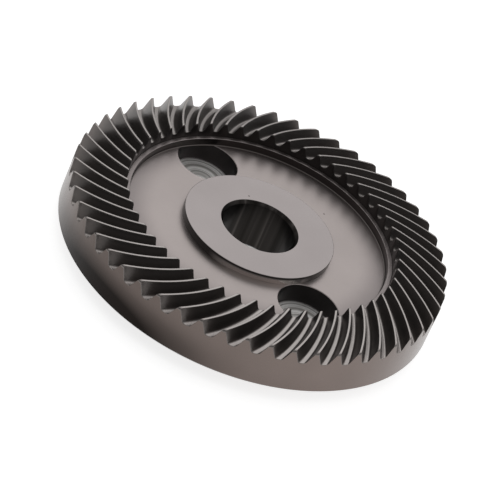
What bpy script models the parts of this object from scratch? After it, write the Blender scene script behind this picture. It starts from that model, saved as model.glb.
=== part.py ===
"""Spiral bevel crown gear: toothed ring, carrier disc and flanged hub.

Metres, +Z up. The gear stands on the end of its hub with the bore axis on Z, and its
teeth point up. The two lock-pin holes lie on the X axis.
"""
from math import cos, pi, radians, sin, tan

import bmesh
import bpy

MM = 0.001

# Teeth
TEETH = 52
PITCH_ANGLE = 2 * pi / TEETH
OUTER_RADIUS = 39.25 * MM
TOE_RADIUS = 0.72 * OUTER_RADIUS
WHOLE_DEPTH = 2.83 * MM            # at the heel, 1.888 times the 1.5 mm module
CREST_WIDTH = 0.56 * MM            # along the circumference
PRESSURE_ANGLE = radians(20)
CREST_RISE = 0.13                  # climb of the crest towards the axis
ROOT_RISE = 0.20                   # climb of the gap floor towards the axis
SWEEP = 7.5 * PITCH_ANGLE          # turn of a tooth line if it ran on to the axis
FIRST_TOOTH = radians(1.4)         # heel tip of the first tooth, from the X axis
TOOTH_STATIONS = 6                 # sections from toe to heel

# Heights over the hub's lower end
RIM_BASE = 2.7 * MM                # the neck stands out this far below the rim
HUB_HEIGHT = RIM_BASE + 8.4 * MM
HEEL_TIP_HEIGHT = HUB_HEIGHT + 1.6 * MM
WEB_HEIGHT = HUB_HEIGHT - 1.65 * MM

# Ring
RING_INNER_RADIUS = 28.05 * MM
RING_SHOULDER = HUB_HEIGHT + 0.1 * MM
RIM_CHAMFER = 0.4 * MM

# Disc: a spigot inside the ring, over a wider seat that carries the ring
GAP = 0.3 * MM                     # clearance drawn between pressed pieces
SPIGOT_RADIUS = RING_INNER_RADIUS - GAP
SEAT_RADIUS = 31 * MM
SEAT_HEIGHT = HUB_HEIGHT - 2.2 * MM
RECESS_RADIUS = 27.1 * MM
RELIEF_RADII = (17.5 * MM, 25.0 * MM)
RELIEF_DEPTH = 0.9 * MM
LOCK_HOLE_RADIUS = 6.3 * MM
LOCK_HOLE_OFFSET = 21.9 * MM
LOCK_HOLE_DEPTH = 4.2 * MM
LOCK_CONE_RADIUS = 4.9 * MM
LOCK_CONE_DEPTH = 0.9 * MM
CUT_OVERLAP = 0.05 * MM            # the holes are cut this far past the web's surface

# Hub
HUB_RADIUS = 15.62 * MM
HUB_FOOT_RADIUS = 16.05 * MM
HUB_NECK_RADIUS = 11.2 * MM
BORE_RADIUS = 7.5 * MM
BORE_CHAMFER = 0.65 * MM
EDGE_CHAMFER = 0.2 * MM

TURNED_STEPS = 96


def clear_scene():
    for old in list(bpy.data.objects):
        bpy.data.objects.remove(old, do_unlink=True)


def steel(name, colour, roughness):
    material = bpy.data.materials.new(name)
    material.use_nodes = True
    shader = material.node_tree.nodes["Principled BSDF"]
    shader.inputs["Base Color"].default_value = (*colour, 1.0)
    shader.inputs["Metallic"].default_value = 1.0
    shader.inputs["Roughness"].default_value = roughness
    return material


def add_object(name, bm, material):
    """Turn a bmesh into a smooth-shaded object with sharp machined edges."""
    bmesh.ops.recalc_face_normals(bm, faces=bm.faces)
    mesh = bpy.data.meshes.new(name)
    bm.to_mesh(mesh)
    bm.free()
    mesh.shade_smooth()
    mesh.set_sharp_from_angle(angle=radians(25))
    mesh.materials.append(material)
    piece = bpy.data.objects.new(name, mesh)
    bpy.context.scene.collection.objects.link(piece)
    return piece


def turned(name, outline, material, steps=TURNED_STEPS):
    """Spin a closed outline of (radius, height) corners about Z."""
    bm = bmesh.new()
    corners = [bm.verts.new((radius, 0, height)) for radius, height in outline]
    for here, after in zip(corners, corners[1:] + corners[:1]):
        bm.edges.new((here, after))
    bmesh.ops.spin(bm, geom=bm.verts[:] + bm.edges[:], cent=(0, 0, 0), axis=(0, 0, 1),
                   angle=2 * pi, steps=steps, use_merge=True)
    return add_object(name, bm, material)


def crest_height(radius):
    return HEEL_TIP_HEIGHT + CREST_RISE * (OUTER_RADIUS - radius)


def root_height(radius):
    return HEEL_TIP_HEIGHT - WHOLE_DEPTH + ROOT_RISE * (OUTER_RADIUS - radius)


def tooth_section(radius):
    """One pitch of the tooth form at a radius, as (angle, height) corners."""
    spiral_tangent = SWEEP * radius / OUTER_RADIUS
    spiral_cosine = 1 / (1 + spiral_tangent ** 2) ** 0.5
    crest, root = crest_height(radius), root_height(radius)
    flank_run = (crest - root) * tan(PRESSURE_ANGLE) / spiral_cosine
    crest_half = CREST_WIDTH / 2 / radius
    flank_foot = crest_half + flank_run / radius
    turn = FIRST_TOOTH + SWEEP * (1 - radius / OUTER_RADIUS)
    return [(turn - crest_half, crest), (turn + crest_half, crest),
            (turn + flank_foot, root), (turn + PITCH_ANGLE - flank_foot, root)]


def ring_sections():
    """The ring's closed loop of sections, each as (radius, one pitch of corners)."""
    face_width = OUTER_RADIUS - TOE_RADIUS
    sections = []
    for step in range(TOOTH_STATIONS):
        radius = TOE_RADIUS + face_width * step / (TOOTH_STATIONS - 1)
        sections.append((radius, tooth_section(radius)))
    heel_angles = [angle for angle, _ in tooth_section(OUTER_RADIUS)]
    toe_angles = [angle for angle, _ in tooth_section(TOE_RADIUS)]
    plain = [(OUTER_RADIUS, RIM_BASE + RIM_CHAMFER, heel_angles),
             (OUTER_RADIUS - RIM_CHAMFER, RIM_BASE, heel_angles),
             (SEAT_RADIUS + GAP, RIM_BASE, toe_angles),
             (SEAT_RADIUS + GAP, SEAT_HEIGHT + GAP, toe_angles),
             (RING_INNER_RADIUS, SEAT_HEIGHT + GAP, toe_angles),
             (RING_INNER_RADIUS, RING_SHOULDER, toe_angles)]
    for radius, height, angles in plain:
        sections.append((radius, [(angle, height) for angle in angles]))
    return sections


def toothed_ring(material):
    """Skin the sections pitch by pitch into one closed ring."""
    bm = bmesh.new()
    loops = []
    for radius, corners in ring_sections():
        loop = []
        for tooth in range(TEETH):
            for angle, height in corners:
                turn = angle + tooth * PITCH_ANGLE
                loop.append(bm.verts.new((radius * cos(turn), radius * sin(turn), height)))
        loops.append(loop)
    for inner, outer in zip(loops, loops[1:] + loops[:1]):
        for i in range(len(inner)):
            j = (i + 1) % len(inner)
            bm.faces.new((inner[i], inner[j], outer[j], outer[i]))
    return add_object("toothed_ring", bm, material)


def carrier_disc(material):
    """Dished disc with a seat for the ring, a raised lip and two blind lock-pin holes."""
    bore = HUB_NECK_RADIUS + GAP
    relief_inner, relief_outer = RELIEF_RADII
    relief_top = RIM_BASE + RELIEF_DEPTH
    outline = [(bore, RIM_BASE), (relief_inner, RIM_BASE), (relief_inner, relief_top),
               (relief_outer, relief_top), (relief_outer, RIM_BASE),
               (SEAT_RADIUS, RIM_BASE), (SEAT_RADIUS, SEAT_HEIGHT),
               (SPIGOT_RADIUS, SEAT_HEIGHT), (SPIGOT_RADIUS, HUB_HEIGHT),
               (RECESS_RADIUS, HUB_HEIGHT), (RECESS_RADIUS, WEB_HEIGHT), (bore, WEB_HEIGHT)]
    disc = turned("carrier_disc", outline, material)
    for side in (1, -1):
        cutter = lock_hole_cutter(side * LOCK_HOLE_OFFSET)
        hole = disc.modifiers.new(cutter.name, "BOOLEAN")
        hole.operation = "DIFFERENCE"
        hole.solver = "EXACT"
        hole.object = cutter
    return disc


def lock_hole_cutter(offset):
    """Drill shape: a straight wall, a flat shoulder and a shallow point."""
    shoulder = WEB_HEIGHT - LOCK_HOLE_DEPTH
    top = WEB_HEIGHT + CUT_OVERLAP
    bm = bmesh.new()
    steps = 40
    levels = [(LOCK_CONE_RADIUS, shoulder), (LOCK_HOLE_RADIUS, shoulder),
              (LOCK_HOLE_RADIUS, top)]
    rings = []
    for radius, height in levels:
        angles = [2 * pi * i / steps for i in range(steps)]
        rings.append([bm.verts.new((radius * cos(a), radius * sin(a), height)) for a in angles])
    point = bm.verts.new((0, 0, shoulder - LOCK_CONE_DEPTH))
    for i in range(steps):
        j = (i + 1) % steps
        bm.faces.new((point, rings[0][j], rings[0][i]))
        for lower, upper in zip(rings, rings[1:]):
            bm.faces.new((lower[i], lower[j], upper[j], upper[i]))
    bm.faces.new(rings[-1])
    side = "right" if offset > 0 else "left"
    cutter = add_object(f"lock_hole_{side}", bm, bpy.data.materials["disc_steel"])
    cutter.location.x = offset
    cutter.hide_render = True
    cutter.display_type = "WIRE"
    return cutter


def flanged_hub(material):
    """Bush with a wide flange over the disc, a long neck through it and a chamfered bore."""
    flange_foot = WEB_HEIGHT + GAP
    outline = [(BORE_RADIUS + BORE_CHAMFER, 0), (HUB_NECK_RADIUS - EDGE_CHAMFER, 0),
               (HUB_NECK_RADIUS, EDGE_CHAMFER), (HUB_NECK_RADIUS, flange_foot),
               (HUB_FOOT_RADIUS, flange_foot), (HUB_RADIUS, HUB_HEIGHT - EDGE_CHAMFER),
               (HUB_RADIUS - EDGE_CHAMFER, HUB_HEIGHT),
               (BORE_RADIUS + BORE_CHAMFER, HUB_HEIGHT),
               (BORE_RADIUS, HUB_HEIGHT - BORE_CHAMFER), (BORE_RADIUS, BORE_CHAMFER)]
    return turned("hub", outline, material)


def main():
    clear_scene()
    toothed_ring(steel("ring_steel", (0.18, 0.155, 0.148), 0.35))
    carrier_disc(steel("disc_steel", (0.37, 0.33, 0.315), 0.32))
    flanged_hub(steel("hub_steel", (0.335, 0.315, 0.30), 0.30))


main()
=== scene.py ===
"""Looks for the spiral bevel crown gear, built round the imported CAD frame."""
from math import cos, hypot, pi, radians, sin, sqrt, tan

import bmesh
import bpy
from mathutils import Euler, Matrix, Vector


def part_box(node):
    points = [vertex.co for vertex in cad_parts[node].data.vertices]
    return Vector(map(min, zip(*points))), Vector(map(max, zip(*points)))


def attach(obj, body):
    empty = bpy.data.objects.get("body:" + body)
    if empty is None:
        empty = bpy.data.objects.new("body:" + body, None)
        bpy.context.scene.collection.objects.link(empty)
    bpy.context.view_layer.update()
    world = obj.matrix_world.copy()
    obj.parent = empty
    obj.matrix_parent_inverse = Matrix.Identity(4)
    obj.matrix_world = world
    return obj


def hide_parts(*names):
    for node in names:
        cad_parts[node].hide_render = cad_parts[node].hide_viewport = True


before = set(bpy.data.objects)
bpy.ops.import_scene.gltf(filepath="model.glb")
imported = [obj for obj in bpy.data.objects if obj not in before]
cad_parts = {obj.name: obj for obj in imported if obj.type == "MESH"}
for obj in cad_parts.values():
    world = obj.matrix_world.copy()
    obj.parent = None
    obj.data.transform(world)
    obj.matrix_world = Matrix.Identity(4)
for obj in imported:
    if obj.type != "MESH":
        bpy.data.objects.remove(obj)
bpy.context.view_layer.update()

MM = 0.001
SLIVER = 0.01 * MM                 # keeps the looks just inside the CAD, and separates levels
SHARP_ANGLE = radians(35)          # edges folded further than this are shaded sharp

# Sizes that the CAD frame gives
ring_low, ring_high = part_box("toothed_ring")
disc_low, disc_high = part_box("carrier_disc")
hub_low, hub_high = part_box("hub")
OUTER_RADIUS = ring_high.x - SLIVER
CREST_TOP = ring_high.z
HUB_HEIGHT = hub_high.z
RIM_BASE = ring_low.z
HUB_FOOT = hub_low.z

# Teeth
TEETH = 52
PITCH_ANGLE = 2 * pi / TEETH
TOE_RADIUS = 0.72 * OUTER_RADIUS
WHOLE_DEPTH = 2.83 * MM
CREST_WIDTH = 0.50 * MM
PRESSURE_ANGLE = radians(20)
CREST_RISE = 0.13
ROOT_RISE = 0.20
SWEEP = 7.5 * PITCH_ANGLE
FIRST_TOOTH = radians(1.4)         # heel tip of the first tooth, from the X axis
HEEL_TIP_HEIGHT = CREST_TOP - CREST_RISE * (OUTER_RADIUS - TOE_RADIUS) - 0.005 * MM
CREST_ROUND = 0.10 * MM
ROOT_ROUND = 0.65 * MM
HEEL_CORNER = 0.50 * MM
TOE_CORNER = 0.40 * MM
END_BREAK = 0.06 * MM              # broken edge where a flank meets the heel or the toe

# Ring, disc and hub
JOIN = 0.02 * MM                   # hairline between pressed pieces
RING_INNER_RADIUS = 28.05 * MM
SEAT_RADIUS = disc_high.x
SEAT_HEIGHT = HUB_HEIGHT - 2.2 * MM
RIM_CHAMFER = 0.40 * MM
SEAM_BREAK = 0.15 * MM             # broken edges along the seam on the underside
WEB_HEIGHT = HUB_HEIGHT - 1.65 * MM
RECESS_RADIUS = 27.1 * MM
LOCK_HOLE_RADIUS = 6.3 * MM
LOCK_HOLE_OFFSET = 21.9 * MM
LOCK_HOLE_DEPTH = 4.2 * MM
LOCK_CONE_RADIUS = 4.9 * MM
LOCK_CONE_DEPTH = 0.9 * MM
RELIEF_RADII = (17.5 * MM, 25.0 * MM)
RELIEF_DEPTH = 0.9 * MM
HUB_RADIUS = 15.62 * MM
NECK_RADIUS = 11.2 * MM
BORE_RADIUS = 7.5 * MM
BORE_CHAMFER = 0.65 * MM
TURNED_STEPS = 256
HOLE_STEPS = 96
HOLE_EDGE = 0.12 * MM              # broken edge round the mouth of a lock hole

# Marks
RIM_SHADE_AZIMUTH = radians(100)       # middle of one stretch of painted shade on the rim's lower edge
HUB_SIDE_REFLECTION_AZIMUTH = radians(153)    # middle of the painted reflection on the hub's side
WEB_PIT = (4.20 * MM, -18.67 * MM, WEB_HEIGHT)
HUB_PIT = (8.98 * MM, -2.30 * MM, HUB_HEIGHT)


# ---------------------------------------------------------------- shapes

def fillet(before, corner, after, radius, steps):
    """Points of the arc that rounds one corner of a flat outline."""
    back = before - corner
    ahead = after - corner
    half = back.angle(ahead) / 2
    reach = min(radius / tan(half), 0.48 * back.length, 0.48 * ahead.length)
    radius = reach * tan(half)
    start = corner + back.normalized() * reach
    end = corner + ahead.normalized() * reach
    centre = corner + (back.normalized() + ahead.normalized()).normalized() * radius / sin(half)
    first, last = start - centre, end - centre
    swing = first.angle_signed(last)
    points = []
    for step in range(steps):
        turn = -swing * step / (steps - 1)
        spoke = Vector((first.x * cos(turn) - first.y * sin(turn),
                        first.x * sin(turn) + first.y * cos(turn)))
        points.append(centre + spoke)
    return points


def rounded(outline):
    """A closed outline of (radius, height, rounding) corners as a list of points."""
    corners = [Vector((item[0], item[1])) for item in outline]
    points = []
    for i, (corner, item) in enumerate(zip(corners, outline)):
        rounding = item[2] if len(item) > 2 else 0
        if rounding:
            before, after = corners[i - 1], corners[(i + 1) % len(corners)]
            points += fillet(before, corner, after, rounding, 5)
        else:
            points.append(corner)
    return points


def new_piece(name, bm, materials):
    """Turn a bmesh into a smooth-shaded object with sharp machined edges."""
    bmesh.ops.recalc_face_normals(bm, faces=bm.faces)
    mesh = bpy.data.meshes.new(name)
    bm.to_mesh(mesh)
    bm.free()
    mesh.shade_smooth()
    mesh.set_sharp_from_angle(angle=SHARP_ANGLE)
    for material in materials:
        mesh.materials.append(material)
    piece = bpy.data.objects.new(name, mesh)
    bpy.context.scene.collection.objects.link(piece)
    return piece


def flat_faces(piece):
    """Weight the normals by face area, so that only the rounded edges shade as curves."""
    weigh = piece.modifiers.new("face_weights", "WEIGHTED_NORMAL")
    weigh.weight = 100
    weigh.keep_sharp = True


def turned(name, outline, materials):
    """Spin a closed outline of (radius, height, rounding) corners about Z."""
    bm = bmesh.new()
    corners = [bm.verts.new((point.x, 0, point.y)) for point in rounded(outline)]
    for here, after in zip(corners, corners[1:] + corners[:1]):
        bm.edges.new((here, after))
    bmesh.ops.spin(bm, geom=bm.verts[:] + bm.edges[:], cent=(0, 0, 0), axis=(0, 0, 1),
                   angle=2 * pi, steps=TURNED_STEPS, use_merge=True)
    return new_piece(name, bm, materials)


# ---------------------------------------------------------------- teeth

def corner_drop(distance, rounding):
    """How far a rounded end has fallen at a distance from the end face."""
    inside = max(0.0, rounding - distance)
    return rounding - sqrt(max(0.0, rounding ** 2 - inside ** 2))


def tooth_profile(radius):
    """One pitch of the tooth form, as (arc length, height) points with rounded corners."""
    spiral_tangent = SWEEP * radius / OUTER_RADIUS
    lean = tan(PRESSURE_ANGLE) * sqrt(1 + spiral_tangent ** 2)
    nominal = HEEL_TIP_HEIGHT + CREST_RISE * (OUTER_RADIUS - radius)
    root = HEEL_TIP_HEIGHT - WHOLE_DEPTH + ROOT_RISE * (OUTER_RADIUS - radius)
    drop = corner_drop(OUTER_RADIUS - radius, HEEL_CORNER)
    drop += corner_drop(radius - TOE_RADIUS, TOE_CORNER)
    crest = nominal - drop
    crest_half = CREST_WIDTH / 2 + drop * lean
    foot = CREST_WIDTH / 2 + (nominal - root) * lean
    pitch = PITCH_ANGLE * radius
    corners = [Vector((-crest_half, crest)), Vector((crest_half, crest)),
               Vector((foot, root)), Vector((pitch - foot, root)),
               Vector((pitch - crest_half, crest)), Vector((-foot, root))]
    left_crest, right_crest, left_root, right_root, next_crest, last_root = corners
    points = fillet(last_root, left_crest, right_crest, CREST_ROUND, 4)
    points += fillet(left_crest, right_crest, left_root, CREST_ROUND, 4)
    points.append((right_crest + left_root) / 2)
    points += fillet(right_crest, left_root, right_root, ROOT_ROUND, 5)
    points += fillet(left_root, right_root, next_crest, ROOT_ROUND, 5)
    points.append((right_root + next_crest) / 2)
    return points


def sunk(points, pitch, depth):
    """The profile moved into the metal along its own normals."""
    moved = []
    count = len(points)
    for i, point in enumerate(points):
        before = points[i - 1] - (Vector((pitch, 0)) if i == 0 else Vector((0, 0)))
        after = points[(i + 1) % count] + (Vector((pitch, 0)) if i == count - 1 else Vector((0, 0)))
        along = (after - before).normalized()
        moved.append(point + Vector((along.y, -along.x)) * depth)
    return moved


def spaced(low, high, dense, coarse_steps):
    """Radii from low to high with extra ones near both ends."""
    ends = [0, 0.12, 0.3, 0.6, 1.0]
    radii = [low + dense * share for share in ends]
    inner, outer = low + dense, high - dense
    radii += [inner + (outer - inner) * i / coarse_steps for i in range(1, coarse_steps)]
    radii += [high - dense * share for share in reversed(ends)]
    return radii


def ring_loops():
    """Closed loop of ring sections, each a list of (radius, angle, height) over one pitch."""
    loops = []
    radii = spaced(TOE_RADIUS + END_BREAK, OUTER_RADIUS - END_BREAK, 0.5 * MM, 14)
    stations = [(TOE_RADIUS, END_BREAK)] + [(r, 0) for r in radii] + [(OUTER_RADIUS, END_BREAK)]
    for radius, depth in stations:
        points = tooth_profile(radius)
        if depth:
            points = sunk(points, PITCH_ANGLE * radius, depth)
        turn = FIRST_TOOTH + SWEEP * (1 - radius / OUTER_RADIUS)
        loops.append([(radius, turn + point.x / radius, point.y) for point in points])
    tooth_rows = len(loops)
    heel = [angle for _, angle, _ in loops[-1]]
    toe = [angle for _, angle, _ in loops[0]]
    shoulder = HUB_HEIGHT - 0.02 * MM
    plain = [(OUTER_RADIUS, RIM_BASE + RIM_CHAMFER, heel),
             (OUTER_RADIUS - RIM_CHAMFER, RIM_BASE, heel),
             (SEAT_RADIUS + JOIN + SEAM_BREAK, RIM_BASE, toe),
             (SEAT_RADIUS + JOIN, RIM_BASE + SEAM_BREAK, toe),
             (SEAT_RADIUS + JOIN, SEAT_HEIGHT + JOIN, toe),
             (RING_INNER_RADIUS, SEAT_HEIGHT + JOIN, toe),
             (RING_INNER_RADIUS, shoulder, toe)]
    for radius, height, angles in plain:
        loops.append([(radius, angle, height) for angle in angles])
    return loops, tooth_rows


def make_ring(materials):
    """Ring with one material each for its plain faces, its teeth and the faces at the toes."""
    bm = bmesh.new()
    rows = []
    loops, tooth_rows = ring_loops()
    for loop in loops:
        row = []
        for tooth in range(TEETH):
            for radius, angle, height in loop:
                turn = angle + tooth * PITCH_ANGLE
                row.append(bm.verts.new((radius * cos(turn), radius * sin(turn), height)))
        rows.append(row)
    for index, (inner, outer) in enumerate(zip(rows, rows[1:] + rows[:1])):
        for i in range(len(inner)):
            j = (i + 1) % len(inner)
            face = bm.faces.new((inner[i], inner[j], outer[j], outer[i]))
            if index < tooth_rows - 1:
                face.material_index = 1
            elif index == len(rows) - 1:
                face.material_index = 2
    return new_piece("gear_ring", bm, materials)


# ---------------------------------------------------------------- disc and hub

def hole_cutter(offset, material):
    """Drill shape: broken edge at the web, straight wall, flat shoulder, shallow point."""
    shoulder = WEB_HEIGHT - LOCK_HOLE_DEPTH
    levels = [(LOCK_CONE_RADIUS, shoulder), (LOCK_HOLE_RADIUS - HOLE_EDGE, shoulder),
              (LOCK_HOLE_RADIUS, shoulder + HOLE_EDGE), (LOCK_HOLE_RADIUS, WEB_HEIGHT - HOLE_EDGE),
              (LOCK_HOLE_RADIUS + HOLE_EDGE, WEB_HEIGHT + 0.02 * MM)]
    bm = bmesh.new()
    rings = []
    for radius, height in levels:
        angles = [2 * pi * (i + 0.5) / HOLE_STEPS for i in range(HOLE_STEPS)]
        rings.append([bm.verts.new((radius * cos(a), radius * sin(a), height)) for a in angles])
    point = bm.verts.new((0, 0, shoulder - LOCK_CONE_DEPTH))
    for i in range(HOLE_STEPS):
        j = (i + 1) % HOLE_STEPS
        bm.faces.new((point, rings[0][j], rings[0][i]))
        for lower, upper in zip(rings, rings[1:]):
            bm.faces.new((lower[i], lower[j], upper[j], upper[i]))
    bm.faces.new(rings[-1])
    cutter = new_piece("cutter", bm, [material])
    cutter.location.x = offset
    return cutter


def make_disc(materials):
    """Disc with one material each for its web, its hole walls, its hole floors and its recess wall."""
    bore = NECK_RADIUS + JOIN
    relief_inner, relief_outer = RELIEF_RADII
    spigot = RING_INNER_RADIUS - JOIN
    relief_top = RIM_BASE + RELIEF_DEPTH
    outline = [(bore, RIM_BASE, 0.2 * MM), (relief_inner, RIM_BASE, 0.2 * MM),
               (relief_inner, relief_top, 0.4 * MM),
               (relief_outer, relief_top, 0.4 * MM), (relief_outer, RIM_BASE, 0.2 * MM),
               (SEAT_RADIUS, RIM_BASE, SEAM_BREAK), (SEAT_RADIUS, SEAT_HEIGHT),
               (spigot, SEAT_HEIGHT), (spigot, HUB_HEIGHT, 0.05 * MM),
               (RECESS_RADIUS, HUB_HEIGHT, 0.10 * MM), (RECESS_RADIUS, WEB_HEIGHT, 0.30 * MM),
               (bore, WEB_HEIGHT, 0.02 * MM)]
    disc = turned("gear_disc", outline, materials)
    for side in (1, -1):
        cutter = hole_cutter(side * LOCK_HOLE_OFFSET, materials[0])
        cut = disc.modifiers.new("lock_hole", "BOOLEAN")
        cut.operation = "DIFFERENCE"
        cut.solver = "EXACT"
        cut.object = cutter
        bpy.context.view_layer.objects.active = disc
        bpy.ops.object.modifier_apply(modifier=cut.name)
        bpy.data.objects.remove(cutter)
    floor_top = WEB_HEIGHT - LOCK_HOLE_DEPTH + SLIVER
    wall_top = WEB_HEIGHT - 0.05 * MM
    for face in disc.data.polygons:
        reach = hypot(abs(face.center.x) - LOCK_HOLE_OFFSET, face.center.y)
        above_relief = face.center.z > RIM_BASE + RELIEF_DEPTH + SLIVER
        in_hole = reach < LOCK_HOLE_RADIUS + SLIVER and above_relief
        if in_hole and face.center.z < floor_top:
            face.material_index = 2
        elif in_hole and face.center.z < wall_top:
            face.material_index = 1
        elif WEB_HEIGHT + SLIVER < face.center.z < HUB_HEIGHT - 0.08 * MM:
            face.material_index = 3
    disc.data.set_sharp_from_angle(angle=SHARP_ANGLE)
    return disc


def make_hub(materials):
    """Hub with one material each for its faces, its bore and hidden neck, and the flange's side."""
    foot = WEB_HEIGHT + JOIN
    outline = [(BORE_RADIUS + BORE_CHAMFER, HUB_FOOT, 0.05 * MM), (NECK_RADIUS, HUB_FOOT, 0.2 * MM),
               (NECK_RADIUS, foot), (HUB_RADIUS, foot), (HUB_RADIUS, HUB_HEIGHT, 0.12 * MM),
               (BORE_RADIUS + BORE_CHAMFER, HUB_HEIGHT, 0.08 * MM),
               (BORE_RADIUS, HUB_HEIGHT - BORE_CHAMFER, 0.08 * MM),
               (BORE_RADIUS, HUB_FOOT + BORE_CHAMFER, 0.05 * MM)]
    hub = turned("gear_hub", outline, materials)
    for face in hub.data.polygons:
        reach = hypot(face.center.x, face.center.y)
        if reach < BORE_RADIUS + 0.02 * MM:
            face.material_index = 1
        elif face.center.z < HUB_HEIGHT - 0.08 * MM:
            face.material_index = 2 if reach > HUB_RADIUS - 0.05 * MM else 1
    return hub


# ---------------------------------------------------------------- materials

CLOUD_SCALE = 60                   # tones wander over about 17 mm
GRAIN_SCALE = 2500                 # grain of about 0.4 mm
GLOSS_SPREAD = 0.12


def steel(name, dark, light, roughness, metallic=1.0):
    """Bare steel: the tone wanders slowly between two colours, and a fine grain breaks the gloss."""
    material = bpy.data.materials.new(name)
    material.use_nodes = True
    nodes, links = material.node_tree.nodes, material.node_tree.links
    shader = nodes["Principled BSDF"]
    shader.inputs["Metallic"].default_value = metallic
    place = nodes.new("ShaderNodeTexCoord")
    cloud = noise(nodes, links, place.outputs["Object"], CLOUD_SCALE, 3)
    tone = ramp(nodes, links, cloud, ((0.30, dark), (0.70, light)))
    links.new(tone, shader.inputs["Base Color"])
    speckle = noise(nodes, links, place.outputs["Object"], GRAIN_SCALE, 2)
    gloss = nodes.new("ShaderNodeMapRange")
    gloss.inputs["To Min"].default_value = roughness * (1 - GLOSS_SPREAD)
    gloss.inputs["To Max"].default_value = roughness * (1 + GLOSS_SPREAD)
    links.new(speckle, gloss.inputs["Value"])
    links.new(gloss.outputs["Result"], shader.inputs["Roughness"])
    return material


def ramp(nodes, links, factor, stops):
    """Colour output of a ramp with (position, colour) stops."""
    node = nodes.new("ShaderNodeValToRGB")
    elements = node.color_ramp.elements
    while len(elements) < len(stops):
        elements.new(0.5)
    for element, (position, colour) in zip(elements, stops):
        element.position = position
        element.color = (*colour, 1)
    links.new(factor, node.inputs["Fac"])
    return node.outputs["Color"]


def calculate(nodes, links, operation, first, second):
    """Output of a Math node; each input is a socket or a number."""
    node = nodes.new("ShaderNodeMath")
    node.operation = operation
    for value, socket in zip((first, second), node.inputs):
        if isinstance(value, (int, float)):
            socket.default_value = value
        else:
            links.new(value, socket)
    return node.outputs["Value"]


def half_range(nodes, links, value):
    """Maps -1 to 1 onto 0 to 1."""
    return calculate(nodes, links, "ADD", calculate(nodes, links, "MULTIPLY", value, 0.5), 0.5)


def multiply_colour(material, shade):
    """Darken a material's base colour by a grey socket."""
    nodes, links = material.node_tree.nodes, material.node_tree.links
    shader = nodes["Principled BSDF"]
    tone = shader.inputs["Base Color"].links[0].from_socket
    mix = nodes.new("ShaderNodeMix")
    mix.data_type = "RGBA"
    mix.blend_type = "MULTIPLY"
    mix.inputs["Factor"].default_value = 1.0
    links.new(tone, mix.inputs["A"])
    links.new(shade, mix.inputs["B"])
    links.new(mix.outputs["Result"], shader.inputs["Base Color"])


def rim_steel():
    """Turned rim with painted shade along two stretches of its lower edge, standing in for the
    reflection of a shadowed floor.
    """
    material = steel("ring_steel", (0.158, 0.129, 0.117), (0.184, 0.149, 0.136), 0.26)
    nodes, links = material.node_tree.nodes, material.node_tree.links
    place = nodes.new("ShaderNodeTexCoord").outputs["Object"]
    side = towards(nodes, links, place, RIM_SHADE_AZIMUTH, OUTER_RADIUS)
    rim_shade_lobe = calculate(nodes, links, "POWER", calculate(nodes, links, "ABSOLUTE", side, 0), 5.0)
    low = smooth_step(nodes, links, height_of(nodes, links, place), RIM_BASE + 8.0 * MM, RIM_BASE)
    depth = calculate(nodes, links, "MULTIPLY", rim_shade_lobe, calculate(nodes, links, "ADD", low, 0.35))
    # painted shade: darkens the base colour towards the lower edge on the two stretches
    multiply_colour(material, ramp(nodes, links, depth, ((0.0, (1, 1, 1)), (0.5, (0.45, 0.45, 0.45)),
                                                         (1.2, (0.08, 0.08, 0.08)))))
    return material


def smooth_step(nodes, links, value, start, end):
    """Rises softly from 0 at the start value to 1 at the end value."""
    step = nodes.new("ShaderNodeMapRange")
    step.interpolation_type = "SMOOTHSTEP"
    step.inputs["From Min"].default_value = start
    step.inputs["From Max"].default_value = end
    links.new(value, step.inputs["Value"])
    return step.outputs["Result"]


def vector_math(nodes, links, operation, vector, constant):
    """A vector math node between a vector socket and a constant vector."""
    node = nodes.new("ShaderNodeVectorMath")
    node.operation = operation
    node.inputs[1].default_value = constant
    links.new(vector, node.inputs[0])
    return node


def flat_length(nodes, links, vector):
    """Length of a vector, leaving out its height."""
    level = vector_math(nodes, links, "MULTIPLY", vector, (1, 1, 0))
    reach = nodes.new("ShaderNodeVectorMath")
    reach.operation = "LENGTH"
    links.new(level.outputs["Vector"], reach.inputs[0])
    return reach.outputs["Value"]


def axis_distance(nodes, links):
    """Distance of the shaded point from the bore axis."""
    place = nodes.new("ShaderNodeTexCoord")
    return flat_length(nodes, links, place.outputs["Object"])


def height_of(nodes, links, vector):
    """Z component of a vector socket."""
    split = nodes.new("ShaderNodeSeparateXYZ")
    links.new(vector, split.inputs["Vector"])
    return split.outputs["Z"]


def towards(nodes, links, vector, azimuth, radius):
    """Cosine of the turn from an azimuth, for points at a radius."""
    direction = (cos(azimuth) / radius, sin(azimuth) / radius, 0)
    return vector_math(nodes, links, "DOT_PRODUCT", vector, direction).outputs["Value"]


def tooth_steel():
    """Tone set by slope: painted shade on the steep flanks, a painted highlight on the flat lands, and a
    painted reflection as a paler stretch behind the heel.
    """
    material = steel("tooth_steel", (0.90, 0.88, 0.87), (1.0, 0.98, 0.97), 0.36)
    nodes, links = material.node_tree.nodes, material.node_tree.links
    level = height_of(nodes, links, nodes.new("ShaderNodeTexCoord").outputs["Normal"])
    # painted shade and painted highlight: steep faces dark, flat lands bright, by the surface's slope
    flank_shade_land_highlight = ramp(nodes, links, level, ((0.50, (0.112, 0.105, 0.102)),
                                                    (0.88, (0.14, 0.130, 0.126)),
                                                    (0.975, (0.40, 0.38, 0.37))))
    # painted reflection: the paler flank tone near the heel
    heel = ramp(nodes, links, level, ((0.50, (0.160, 0.147, 0.141)),
                                                   (0.975, (0.40, 0.375, 0.365))))
    heel_reflection_blend = smooth_step(nodes, links, axis_distance(nodes, links), OUTER_RADIUS - 2.6 * MM,
                         OUTER_RADIUS - 0.2 * MM)
    mix = nodes.new("ShaderNodeMix")
    mix.data_type = "RGBA"
    links.new(heel_reflection_blend, mix.inputs["Factor"])
    links.new(flank_shade_land_highlight, mix.inputs["A"])
    links.new(heel, mix.inputs["B"])
    multiply_colour(material, mix.outputs["Result"])
    return material


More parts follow.
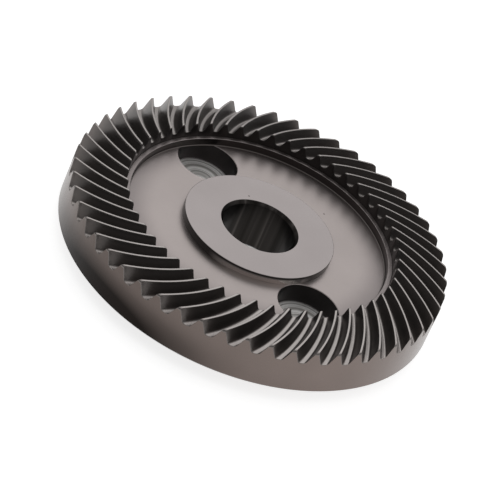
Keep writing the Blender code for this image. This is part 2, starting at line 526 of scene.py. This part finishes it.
def paint_shade_outwards(material, start, end, shade):
    """Painted shade: fade the tone darker between two distances from the bore axis."""
    nodes, links = material.node_tree.nodes, material.node_tree.links
    outwards = smooth_step(nodes, links, axis_distance(nodes, links), start, end)
    multiply_colour(material, ramp(nodes, links, outwards, ((0.0, (1, 1, 1)), (1.0, shade))))


def add_pit(material, centre):
    """One small dark pit in the surface."""
    nodes, links = material.node_tree.nodes, material.node_tree.links
    place = nodes.new("ShaderNodeTexCoord").outputs["Object"]
    away = vector_math(nodes, links, "DISTANCE", place, centre)
    outside = smooth_step(nodes, links, away.outputs["Value"], 0.05 * MM, 0.30 * MM)
    multiply_colour(material, ramp(nodes, links, outside, ((0.0, (0.22, 0.20, 0.20)), (1.0, (1, 1, 1)))))


def hub_side_steel():
    """Side of the flange in painted shade, with a painted reflection of the web along the lower half of
    one stretch.
    """
    material = steel("hub_side_steel", (0.92, 0.90, 0.88), (1.0, 0.98, 0.96), 0.25)
    nodes, links = material.node_tree.nodes, material.node_tree.links
    place = nodes.new("ShaderNodeTexCoord").outputs["Object"]
    side = towards(nodes, links, place, HUB_SIDE_REFLECTION_AZIMUTH, HUB_RADIUS)
    stretch = smooth_step(nodes, links, side, 0.72, 0.99)
    lower = smooth_step(nodes, links, height_of(nodes, links, place), HUB_HEIGHT - 0.35 * MM,
                        HUB_HEIGHT - 0.85 * MM)
    painted_reflection_mask = calculate(nodes, links, "MULTIPLY", stretch, lower)
    links.new(painted_reflection_mask, nodes["Principled BSDF"].inputs["Metallic"])
    nodes["Principled BSDF"].inputs["Specular IOR Level"].default_value = 0.15
    # painted shade on the flange's side, and a painted reflection where the mask is set
    multiply_colour(material, ramp(nodes, links, painted_reflection_mask, ((0.0, (0.045, 0.040, 0.038)),
                                                          (1.0, (0.75, 0.70, 0.68)))))
    return material


def bore_steel():
    """Bore in painted shade, with paler streaks along the axis as painted reflections."""
    material = steel("bore_steel", (0.85, 0.82, 0.80), (1, 0.97, 0.95), 0.30)
    nodes, links = material.node_tree.nodes, material.node_tree.links
    place = nodes.new("ShaderNodeTexCoord").outputs["Object"]
    along_axis = vector_math(nodes, links, "MULTIPLY", place, (1, 1, 0.02))
    streak_reflections = noise(nodes, links, along_axis.outputs["Vector"], 420, 3)
    # painted shade for the bore, and painted reflections as its paler streaks
    multiply_colour(material, ramp(nodes, links, streak_reflections, ((0.42, (0.014, 0.013, 0.012)),
                                                           (0.60, (0.028, 0.026, 0.025)),
                                                           (0.74, (0.10, 0.093, 0.090)))))
    return material


def noise(nodes, links, vector, scale, detail):
    """Output of a noise texture over a vector socket."""
    texture = nodes.new("ShaderNodeTexNoise")
    texture.inputs["Scale"].default_value = scale
    texture.inputs["Detail"].default_value = detail
    links.new(vector, texture.inputs["Vector"])
    return texture.outputs["Fac"]


def add_turned_marks(material, height, pitch=0.25 * MM, offset=0.0):
    """Bump of fine rings about the bore axis, or about each lock hole; gives their pattern."""
    nodes, links = material.node_tree.nodes, material.node_tree.links
    place = nodes.new("ShaderNodeTexCoord")
    mirrored = nodes.new("ShaderNodeVectorMath")
    mirrored.operation = "ABSOLUTE"
    links.new(place.outputs["Object"], mirrored.inputs[0])
    centred = vector_math(nodes, links, "SUBTRACT", mirrored.outputs["Vector"], (offset, 0, 0))
    grooves = nodes.new("ShaderNodeTexNoise")
    grooves.noise_dimensions = "1D"
    grooves.inputs["Scale"].default_value = 1 / pitch
    grooves.inputs["Detail"].default_value = 2.0
    links.new(flat_length(nodes, links, centred.outputs["Vector"]), grooves.inputs["W"])
    bump = nodes.new("ShaderNodeBump")
    bump.inputs["Strength"].default_value = 1.0
    bump.inputs["Distance"].default_value = height
    links.new(grooves.outputs["Fac"], bump.inputs["Height"])
    links.new(bump.outputs["Normal"], nodes["Principled BSDF"].inputs["Normal"])
    return grooves.outputs["Fac"]


def drilled_steel():
    """Floor of a lock hole, painted pale as a lit patch, with the rings that the cutter left also
    painted as pale and dark bands standing in for their highlights.
    """
    material = steel("drilled_steel", (0.88, 0.86, 0.84), (1.0, 0.98, 0.96), 0.42, metallic=0.55)
    nodes, links = material.node_tree.nodes, material.node_tree.links
    grooves = add_turned_marks(material, 0.04 * MM, 0.75 * MM, LOCK_HOLE_OFFSET)
    # painted highlight: the cutter's rings as pale and dark colour bands
    multiply_colour(material, ramp(nodes, links, grooves, ((0.40, (0.40, 0.39, 0.38)),
                                                           (0.58, (1.0, 1.0, 1.0)))))
    return material


# ---------------------------------------------------------------- studio

CAMERA_TARGET = Vector((-3.75 * MM, 6.81 * MM, HUB_HEIGHT))
CAMERA_DISTANCE = 668.5 * MM
CAMERA_AZIMUTH = radians(137.38)
CAMERA_ELEVATION = radians(34.32)
CAMERA_ROLL = radians(23.9)
CAMERA_LENS = 256
DIM_AZIMUTH = CAMERA_AZIMUTH       # the sky is dimmest on this side
SKY_STRENGTH = 1.2
SKY_LEVELS = ((0.0, 0.02), (0.12, 0.03), (0.30, 0.40), (0.46, 1.0))   # (sine of height, level)
FLOOR_GLOW = 0.78


def add_camera():
    """Long lens from the upper left of the gear, rolled about its own axis."""
    data = bpy.data.cameras.new("camera")
    data.lens = CAMERA_LENS
    data.sensor_width = 36
    camera = bpy.data.objects.new("camera", data)
    bpy.context.scene.collection.objects.link(camera)
    level = cos(CAMERA_ELEVATION)
    back = Vector((level * cos(CAMERA_AZIMUTH), level * sin(CAMERA_AZIMUTH), sin(CAMERA_ELEVATION)))
    camera.location = CAMERA_TARGET + back * CAMERA_DISTANCE
    facing = back.to_track_quat("Z", "Y").to_matrix().to_4x4()
    camera.rotation_euler = (facing @ Euler((0, 0, CAMERA_ROLL)).to_matrix().to_4x4()).to_euler()
    data.clip_start, data.clip_end = 0.01, 20
    bpy.context.scene.camera = camera


def add_floor():
    """Pale glowing floor under the hub's lower end."""
    bm = bmesh.new()
    bmesh.ops.create_grid(bm, x_segments=1, y_segments=1, size=3)
    material = bpy.data.materials.new("floor")
    material.use_nodes = True
    shader = material.node_tree.nodes["Principled BSDF"]
    shader.inputs["Base Color"].default_value = (0.5, 0.5, 0.5, 1)
    shader.inputs["Roughness"].default_value = 0.9
    shader.inputs["Emission Color"].default_value = (1, 1, 1, 1)
    shader.inputs["Emission Strength"].default_value = FLOOR_GLOW
    floor = new_piece("floor", bm, [material])
    floor.location.z = HUB_FOOT - 0.05 * MM


def add_world():
    """Studio sky: dark at the horizon, bright above, and brightest on the side facing the camera."""
    world = bpy.data.worlds.new("studio")
    bpy.context.scene.world = world
    world.use_nodes = True
    nodes, links = world.node_tree.nodes, world.node_tree.links
    place = nodes.new("ShaderNodeTexCoord").outputs["Generated"]
    greys = [(position, (level, level, level)) for position, level in SKY_LEVELS]
    height = ramp(nodes, links, height_of(nodes, links, place), greys)
    side = towards(nodes, links, place, DIM_AZIMUTH + pi, 1)
    facing = ramp(nodes, links, half_range(nodes, links, side),
                  ((0.15, (0.30, 0.30, 0.30)), (0.75, (1, 1, 1))))
    mix = nodes.new("ShaderNodeMix")
    mix.data_type = "RGBA"
    mix.blend_type = "MULTIPLY"
    mix.inputs["Factor"].default_value = 1.0
    links.new(height, mix.inputs["A"])
    links.new(facing, mix.inputs["B"])
    background = nodes["Background"]
    background.inputs["Strength"].default_value = SKY_STRENGTH
    links.new(mix.outputs["Result"], background.inputs["Color"])


def main():
    # toe faces painted near-black: painted shade
    toe_steel = steel("toe_steel", (0.055, 0.050, 0.048), (0.08, 0.073, 0.070), 0.35)
    ring = make_ring([rim_steel(), tooth_steel(), toe_steel])
    web_steel = steel("disc_steel", (0.34, 0.302, 0.292), (0.375, 0.333, 0.322), 0.36)
    add_turned_marks(web_steel, 0.0006 * MM)
    # painted shade on the web towards the recess wall
    paint_shade_outwards(web_steel, 21.0 * MM, RECESS_RADIUS, (0.66, 0.66, 0.67))
    add_pit(web_steel, WEB_PIT)
    # hole walls painted near-black: painted shade inside the holes
    hole_steel = steel("hole_steel", (0.03, 0.028, 0.028), (0.05, 0.045, 0.045), 0.30)
    # recess wall painted very dark: painted shade
    wall_steel = steel("wall_steel", (0.075, 0.066, 0.063), (0.10, 0.088, 0.084), 0.30)
    disc = make_disc([web_steel, hole_steel, drilled_steel(), wall_steel])
    hub_steel = steel("hub_steel", (0.290, 0.261, 0.257), (0.317, 0.287, 0.283), 0.20)
    add_turned_marks(hub_steel, 0.0006 * MM)
    add_pit(hub_steel, HUB_PIT)
    hub = make_hub([hub_steel, bore_steel(), hub_side_steel()])
    for piece, node, slot in ((ring, "toothed_ring", "ring_steel"),
                              (disc, "carrier_disc", "disc_steel"), (hub, "hub", "hub_steel")):
        flat_faces(piece)
        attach(piece, "root")
        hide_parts(node)
    add_floor()
    add_world()
    add_camera()
    bpy.context.scene.view_settings.view_transform = "Standard"


main()
